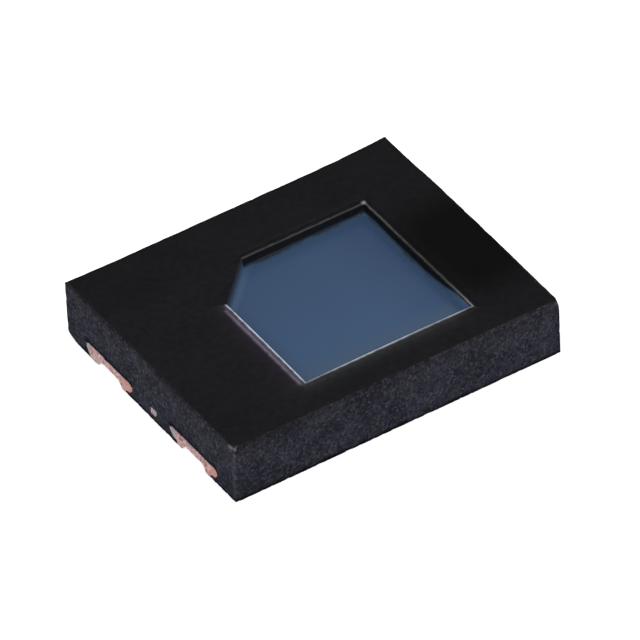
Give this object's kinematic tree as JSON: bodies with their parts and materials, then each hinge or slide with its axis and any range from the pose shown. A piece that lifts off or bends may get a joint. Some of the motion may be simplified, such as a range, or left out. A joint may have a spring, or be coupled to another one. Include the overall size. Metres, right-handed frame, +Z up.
{
  "type": "photodiode",
  "caption": "Flat black surface-mount photodiode: a blue silicon chip in a square window with a cut corner, and bare copper solder terminals on both short ends.",
  "frame": {"origin": "middle of the underside, on the solder plane", "axes": "+X along the length, away from the anode end; +Y along the width, towards the anode's side; +Z up, out of the window"},
  "size_m": [0.005, 0.004, 0.0009],
  "materials": {
    "mould_black": "satin black moulding compound, grainy on the sawn sides",
    "silicon_blue": "polished silicon with a blue anti-reflection coating",
    "contact_metal": "vapour-deposited aluminium",
    "silver_adhesive": "cured silver-filled adhesive",
    "copper": "etched copper, bare where it is sawn and tin-plated underneath",
    "gold": "drawn gold wire"
  },
  "bodies": {
    "root": {"mould_body": "mould_black", "photodiode_chip": "silicon_blue", "anode_contact": "contact_metal", "die_attach": "silver_adhesive", "cathode_frame": "copper", "anode_terminal": "copper", "spare_terminal": "copper", "bond_wire": "gold"}
  },
  "joints": []
}
